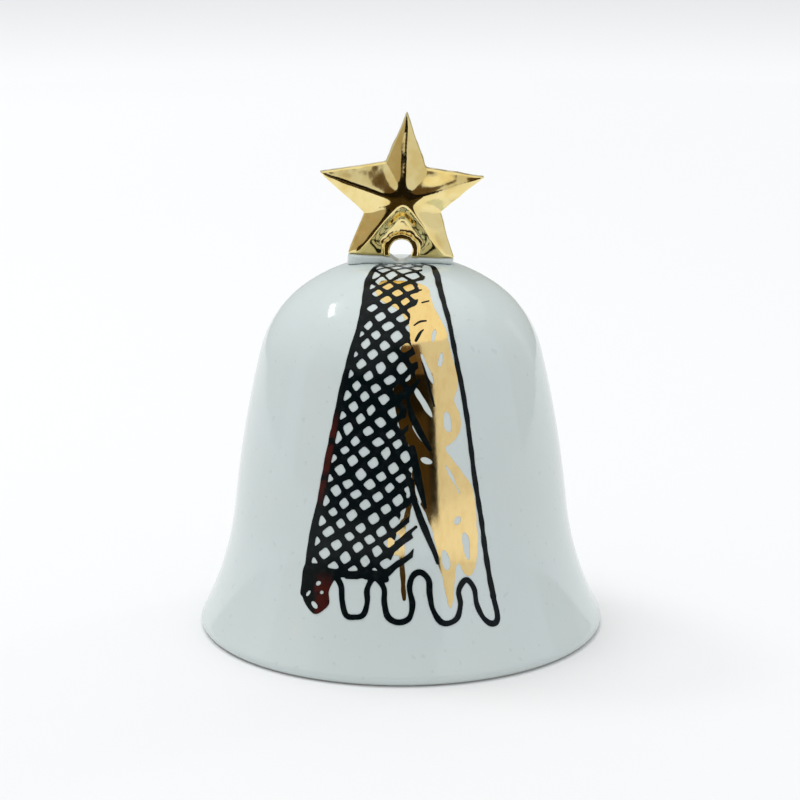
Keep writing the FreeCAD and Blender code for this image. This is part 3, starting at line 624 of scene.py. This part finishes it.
streak = {
    "sheet": {"step": 0.20, "left": -7, "right": 15, "low": 13, "high": 78, "lift": 0.05, "thickness": 0.045},
    "outline": [(-3.4, 76.0), (1.2, 75.6), (4.6, 74.2), (5.4, 70.4), (6.6, 67.0), (8.0, 63.6), (8.7, 59.8),
                (9.7, 56.2), (9.9, 53.4), (9.2, 51.0), (10.4, 48.0), (10.2, 45.4), (8.6, 43.4), (7.7, 42.6),
                (8.8, 40.8), (10.4, 38.6), (12.4, 35.8), (13.1, 31.5), (13.4, 26.0), (13.3, 22.4),
                (12.4, 20.4), (11.2, 20.3), (10.2, 22.2), (9.5, 21.0), (9.3, 17.6), (8.6, 14.6), (7.7, 17.6),
                (7.3, 20.0), (6.4, 22.4), (6.2, 25.2), (5.1, 28.4), (3.7, 32.4), (2.3, 34.6), (2.0, 38.0),
                (1.7, 42.4), (0.2, 44.6), (-0.6, 47.6), (-1.2, 51.0), (-1.1, 53.4), (1.6, 54.8), (0.6, 57.4),
                (-0.2, 59.6), (1.5, 63.4), (0.4, 66.6), (-1.2, 68.6), (-3.8, 70.6), (-4.4, 74.0)],
    # porcelain showing through: middle, half length, half width, slant
    "gaps": [(4.6, 56.4, 3.0, 0.36, -68), (3.9, 50.6, 3.1, 0.52, -58), (3.4, 44.7, 2.2, 0.40, -54),
             (4.4, 40.5, 1.1, 0.55, -20), (3.0, 34.8, 2.1, 0.42, -78), (4.8, 28.8, 3.3, 0.42, -71),
             (5.7, 62.9, 1.3, 0.42, 80), (6.9, 58.4, 1.3, 0.45, 84), (8.1, 47.2, 1.7, 0.72, 94),
             (9.1, 37.0, 2.9, 0.26, -64), (9.9, 29.8, 0.75, 0.52, 70), (11.4, 25.3, 2.4, 0.62, -82),
             (7.8, 22.9, 1.7, 0.72, -78)],
    "strokes": [[(1.4, 32.6, 0.5), (0.6, 29.6, 0.5), (-1.4, 27.6, 0.6), (-1.7, 24.9, 0.5), (-0.6, 24.2, 0.4)],
                [(0.4, 29.8, 0.5), (0.1, 25.4, 0.45), (0.3, 20.4, 0.42), (0.5, 16.2, 0.3)]],
}


def drawGold(x, y):
    gold = areaField(x, y, smooth(streak["outline"] + streak["outline"][:1], 4)[:-1])
    for gap in streak["gaps"]:
        gold = np.maximum(gold, -oval(x, y, *gap))
    for stroke in streak["strokes"]:
        gold = merge(gold, lineField(x, y, smooth(stroke)), 0.3)
    return gold + 0.10 * wander(x, y, 2.4, 31)


inkFilm("goldStreak", streak["sheet"], drawGold, goldLustre, "gold_lustre", "gold_print")
inkFilm("penDrawing", panel["sheet"], drawInk, lineInk, "line_ink", "line_print")


# ---- the star and its pad ----

starShape = {
    "cell": 0.17, "rounding": 10, "dentSize": 5.0, "dentDepth": 0.45,
    "holeHeight": 70.6, "lean": 2.5, "middle": 9.2,      # the star's middle is this far over the ribbon hole
    "depth": 4.5, "edge": 0.9, "legLength": 15.0, "legSpread": 36.5,
    "webTop": 1.9, "webFall": 0.12, "webSlope": 0.26,    # the web between the legs is a shallow valley
    "webLeast": 0.65, "wallSlope": 1.4, "collar": 3.3, "bore": 0.6,
    "wornTo": 3.55, "wornBlend": 0.30,                   # the middle is worn flat down to this depth
    "ridgeRounds": 170, "ridgeFrom": 1.0, "ridgeOver": 1.0, "collarBlend": 0.6, "leastSoft": 0.02,
}


def shapeStar(star, look):      # everything is measured across and up the star, from its ribbon hole
    places = readPlaces(star)
    lean = math.radians(look["lean"])
    x, y, z = places[:, 0] / mm, places[:, 1] / mm, places[:, 2] / mm - look["holeHeight"]
    across, up = x * math.cos(lean) - z * math.sin(lean), x * math.sin(lean) + z * math.cos(lean)
    fromHole = np.hypot(across, up)
    below = look["middle"] - up
    spread = math.radians(look["legSpread"])
    fromRidge = (below * math.tan(spread) - np.abs(across)) * math.cos(spread)
    ridge = look["depth"] - (look["depth"] - look["edge"]) * below / math.cos(spread) / look["legLength"]
    depth = np.abs(y)
    web = (below > 0) & (fromRidge > 0) & (fromHole > look["collar"]) & (depth > look["bore"])
    valley = look["webTop"] - look["webFall"] * below + look["webSlope"] * np.abs(across)
    valley = np.minimum(np.maximum(ridge - look["wallSlope"] * fromRidge, valley), ridge)
    depth = np.where(web, np.maximum(valley, look["webLeast"]), depth)
    proud = depth - look["wornTo"]
    depth = depth - (proud + np.sqrt(proud ** 2 + look["wornBlend"] ** 2)) / 2
    places[:, 1] = np.sign(y) * depth * mm
    writePlaces(star, places)
    soft = np.clip((depth - look["ridgeFrom"]) / look["ridgeOver"], 0, 1)
    soft = soft * np.clip((fromHole - look["collar"]) / look["collarBlend"], 0, 1)
    weightGroup(star, "ridges", soft, look["leastSoft"])


star = copyOf("star_finial")
applyModifier(star, "REMESH", mode="VOXEL", voxel_size=starShape["cell"] * mm)
shapeStar(star, starShape)
dents = bpy.data.textures.new("castingDents", "CLOUDS")
dents.noise_scale = starShape["dentSize"] * mm
applyModifier(star, "DISPLACE", texture=dents, texture_coords="LOCAL", mid_level=0.5,
              strength=starShape["dentDepth"] * mm)
applyModifier(star, "SMOOTH", factor=0.5, iterations=starShape["ridgeRounds"], vertex_group="ridges")
applyModifier(star, "SMOOTH", factor=0.5, iterations=starShape["rounding"])
star.vertex_groups.clear()
softShade(star)
hang(star, "castStar", "bell", starGold, "star_gilding", "star_finial")

padShape = {"cell": 0.20, "rounding": 34}
pad = copyOf("star_pad")
applyModifier(pad, "REMESH", mode="VOXEL", voxel_size=padShape["cell"] * mm)
applyModifier(pad, "SMOOTH", factor=0.5, iterations=padShape["rounding"])
softShade(pad)
hang(pad, "starPad", "bell", porcelain, "porcelain", "star_pad")


# ---- swivel and clapper ----

for node, name, body, finish, slot in (
        ("swivel_bush", "swivelBush", "bell", metals["turnedBrass"], "brass"),
        ("bush_cement", "bushCement", "bell", cement, "cement"),
        ("swivel_pin", "swivelPin", "swivel", metals["drawnBrass"], "brass_wire"),
        ("upper_ball_cap", "upperBallCap", "clapper", metals["turnedBrass"], "brass"),
        ("lower_ball_cap", "lowerBallCap", "clapper", metals["turnedBrass"], "brass"),
        ("crimp_bead", "crimpBead", "clapper", metals["turnedBrass"], "brass")):
    part = copyOf(node)
    softShade(part, 32)
    hang(part, name, body, finish, slot, node)

ballSetup = {"radius": 6.5, "height": 14.0, "bore": 0.65}
side, top = ballSetup["bore"], math.sqrt(ballSetup["radius"] ** 2 - ballSetup["bore"] ** 2)
ball = turned(outlineOf([(side, ballSetup["height"] - top),
                         (ballSetup["radius"], ballSetup["height"], ballSetup["radius"], 24),
                         (side, ballSetup["height"] + top, ballSetup["radius"], 24)]), 96)
softShade(ball, 50)
hang(ball, "clapperBall", "clapper", ballGlaze, "ball_glaze", "clapper_ball")

wireSetup = {"thickness": 1.2, "foot": 6.3, "loopMiddle": 54.5, "loopRadius": 2.1, "coilTop": 51.5,
             "coilRadius": 1.2, "coilPitch": 1.22, "coilTurns": 2.6,
             "tailHead": [(0, 6.28), (0.9, 6.28), (1.3, 6.6, 0.4, 4), (1.3, 6.98), (0, 6.98)]}
route = [(0, 0, z) for z in (wireSetup["foot"], 20, 35, 48, 51.0)]
for k in range(1, 16):                                  # round the loop
    angle = math.radians(-82 + 344 * (k - 1) / 14)
    route.append((0, wireSetup["loopRadius"] * math.cos(angle),
                  wireSetup["loopMiddle"] + wireSetup["loopRadius"] * math.sin(angle)))
for k in range(round(wireSetup["coilTurns"] * 14)):     # and down round itself
    angle = math.radians(-90) - math.tau * k / 14
    route.append((wireSetup["coilRadius"] * math.cos(angle), wireSetup["coilRadius"] * math.sin(angle),
                  wireSetup["coilTop"] - wireSetup["coilPitch"] * k / 14))
bend = bpy.data.curves.new("clapperWire", "CURVE")
bend.dimensions = "3D"
spline = bend.splines.new("NURBS")
spline.points.add(len(route) - 1)
for point, place in zip(spline.points, route):
    point.co = (*(c * mm for c in place), 1)
spline.order_u = 3
spline.use_endpoint_u = True
spline.resolution_u = 5
bend.bevel_depth = wireSetup["thickness"] / 2 * mm
bend.bevel_resolution = 5
bend.use_fill_caps = True
wire = bpy.data.objects.new("clapperWire", bend)
bpy.context.scene.collection.objects.link(wire)
pick(wire)
bpy.ops.object.convert(target="MESH")
wire = bpy.context.object
tailHead = turned(outlineOf(wireSetup["tailHead"]), 40)
pick(wire)
tailHead.select_set(True)
bpy.ops.object.join()
softShade(wire, 50)
hang(wire, "clapperWire", "clapper", metals["drawnBrass"], "brass_wire", "clapper_wire")
